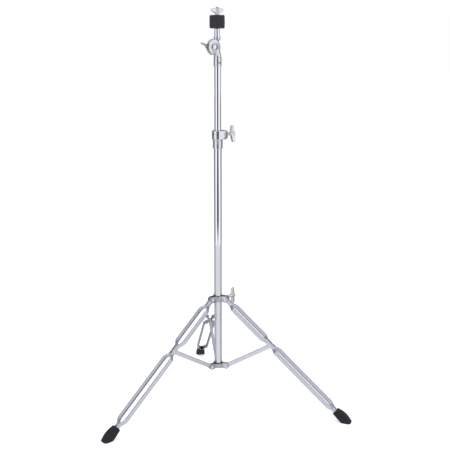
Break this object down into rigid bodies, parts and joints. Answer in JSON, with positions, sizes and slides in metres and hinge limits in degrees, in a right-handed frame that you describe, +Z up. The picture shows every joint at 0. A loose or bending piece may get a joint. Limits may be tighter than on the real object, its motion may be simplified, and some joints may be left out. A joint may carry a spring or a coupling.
{
  "type": "cymbal stand",
  "caption": "Straight cymbal stand: a folding double-braced tripod with rubber feet, a telescoping tube, a toothed tilter and a felted seat under a wing nut.",
  "frame": {"origin": "middle of the stand's bounding box, at the floor", "axes": "+Z up along the tubes, +Y towards the rear leg's foot"},
  "size_m": [0.7062, 0.6138, 1.1451],
  "materials": {
    "polished_chrome": "polished chrome plate",
    "pressed_chrome": "chrome plate on pressed steel, soft sheen",
    "cast_chrome": "chrome plate on a casting",
    "black_nylon": "moulded, matt",
    "black_rubber": "moulded rubber, matt",
    "dark_felt": "pressed wool felt",
    "dark_steel": "blackened steel"
  },
  "bodies": {
    "base": {"base_tube": "polished_chrome", "bracket_plate_1": "pressed_chrome", "bracket_plate_2": "pressed_chrome", "bracket_plate_3": "pressed_chrome", "bracket_rivet_1": "polished_chrome", "bracket_rivet_2": "polished_chrome", "bracket_rivet_3": "polished_chrome", "bracket_bush": "black_nylon", "clamp_body": "cast_chrome", "clamp_bush": "black_nylon", "clamp_grub_screw": "dark_steel"},
    "collar": {"collar_plate_1": "pressed_chrome", "collar_plate_2": "pressed_chrome", "collar_plate_3": "pressed_chrome", "collar_rivet_1": "polished_chrome", "collar_rivet_2": "polished_chrome", "collar_rivet_3": "polished_chrome", "collar_bush": "black_nylon", "collar_wing_bolt_nut": "pressed_chrome"},
    "collar_bolt": {"collar_wing_bolt": "cast_chrome"},
    "clamp_bolt": {"clamp_wing_bolt": "cast_chrome"},
    "mast_guide": {"tube_guide_plug": "black_nylon"},
    "mast": {"upper_tube": "polished_chrome", "tilter_lower_half": "cast_chrome", "tilter_bolt": "polished_chrome", "tilter_spring_washer": "dark_steel", "tilter_set_screw": "dark_steel"},
    "tilter_nut": {"tilter_wing_nut": "cast_chrome"},
    "head": {"tilter_upper_half": "cast_chrome", "cymbal_arm": "polished_chrome", "cymbal_rod": "polished_chrome", "cymbal_sleeve": "black_nylon", "lower_felt": "dark_felt"},
    "loose_felt": {"upper_felt": "dark_felt"},
    "top_nut": {"top_wing_nut": "cast_chrome"},
    "leg_1": {"leg_1_channel_a": "pressed_chrome", "leg_1_channel_b": "pressed_chrome", "leg_1_knee_rivet_a": "polished_chrome", "leg_1_knee_rivet_b": "polished_chrome", "leg_1_foot_rivet": "polished_chrome", "leg_1_rubber_foot": "black_rubber"},
    "strut_1": {"brace_1": "pressed_chrome"},
    "leg_2": {"leg_2_channel_a": "pressed_chrome", "leg_2_channel_b": "pressed_chrome", "leg_2_knee_rivet_a": "polished_chrome", "leg_2_knee_rivet_b": "polished_chrome", "leg_2_foot_rivet": "polished_chrome", "leg_2_rubber_foot": "black_rubber"},
    "strut_2": {"brace_2": "pressed_chrome"},
    "leg_3": {"leg_3_channel_a": "pressed_chrome", "leg_3_channel_b": "pressed_chrome", "leg_3_knee_rivet_a": "polished_chrome", "leg_3_knee_rivet_b": "polished_chrome", "leg_3_foot_rivet": "polished_chrome", "leg_3_rubber_foot": "black_rubber"},
    "strut_3": {"brace_3": "pressed_chrome"}
  },
  "joints": [
    {"name": "collar_slide", "type": "slide", "parent": "base", "child": "collar", "axis": [0, 0, 1], "range_m": [0, 0.1401]},
    {"name": "collar_wing_turn", "type": "hinge", "parent": "collar", "child": "collar_bolt", "pos_m": [0, -0.09617, 0.32226], "axis": [0.866, 0.5, 0], "continuous": true},
    {"name": "clamp_wing_turn", "type": "hinge", "parent": "base", "child": "clamp_bolt", "pos_m": [0, -0.09617, 0.80205], "axis": [0.9956, 0.0941, 0], "continuous": true},
    {"name": "mast_slide", "type": "slide", "parent": "base", "child": "mast_guide", "axis": [0, 0, 1], "range_m": [-0.17, 0.28]},
    {"name": "mast_swivel", "type": "hinge", "parent": "mast_guide", "child": "mast", "pos_m": [0, -0.09617, 0.78725], "axis": [0, 0, 1], "continuous": true},
    {"name": "head_tilt", "type": "hinge", "parent": "mast", "child": "head", "pos_m": [-0.01286, -0.10465, 1.03955], "axis": [-0.5505, 0.8348, 0], "range_deg": [-95, 70]},
    {"name": "tilter_wing_turn", "type": "hinge", "parent": "mast", "child": "tilter_nut", "pos_m": [-0.01286, -0.10465, 1.03955], "axis": [-0.5505, 0.8348, 0], "continuous": true},
    {"name": "felt_lift", "type": "slide", "parent": "head", "child": "loose_felt", "axis": [0, 0, 1], "range_m": [0, 0.042]},
    {"name": "top_wing_turn", "type": "hinge", "parent": "loose_felt", "child": "top_nut", "pos_m": [-0.00125, -0.09699, 1.11955], "axis": [0, 0, 1], "continuous": true},
    {"name": "leg_1_fold", "type": "hinge", "parent": "collar", "child": "leg_1", "pos_m": [0, -0.07247, 0.32466], "axis": [-1, 0, 0], "range_deg": [0, 45.39]},
    {"name": "strut_1_fold", "type": "hinge", "parent": "base", "child": "strut_1", "pos_m": [0, -0.06987, 0.11885], "axis": [1, 0, 0], "range_deg": [0, 56.61]},
    {"name": "leg_2_fold", "type": "hinge", "parent": "collar", "child": "leg_2", "pos_m": [0.02053, -0.10802, 0.32466], "axis": [0.5, 0.866, 0], "range_deg": [0, 45.39]},
    {"name": "strut_2_fold", "type": "hinge", "parent": "base", "child": "strut_2", "pos_m": [0.02278, -0.10932, 0.11885], "axis": [-0.5, -0.866, 0], "range_deg": [0, 56.61]},
    {"name": "leg_3_fold", "type": "hinge", "parent": "collar", "child": "leg_3", "pos_m": [-0.02053, -0.10802, 0.32466], "axis": [0.5, -0.866, 0], "range_deg": [0, 45.39]},
    {"name": "strut_3_fold", "type": "hinge", "parent": "base", "child": "strut_3", "pos_m": [-0.02278, -0.10932, 0.11885], "axis": [-0.5, 0.866, 0], "range_deg": [0, 56.61]}
  ],
  "couplings": [
    {"joint": "leg_1_fold", "follows": "collar_slide", "rad_per_m": 5.6545},
    {"joint": "strut_1_fold", "follows": "collar_slide", "rad_per_m": 7.0523},
    {"joint": "leg_2_fold", "follows": "collar_slide", "rad_per_m": 5.6545},
    {"joint": "strut_2_fold", "follows": "collar_slide", "rad_per_m": 7.0523},
    {"joint": "leg_3_fold", "follows": "collar_slide", "rad_per_m": 5.6545},
    {"joint": "strut_3_fold", "follows": "collar_slide", "rad_per_m": 7.0523}
  ]
}
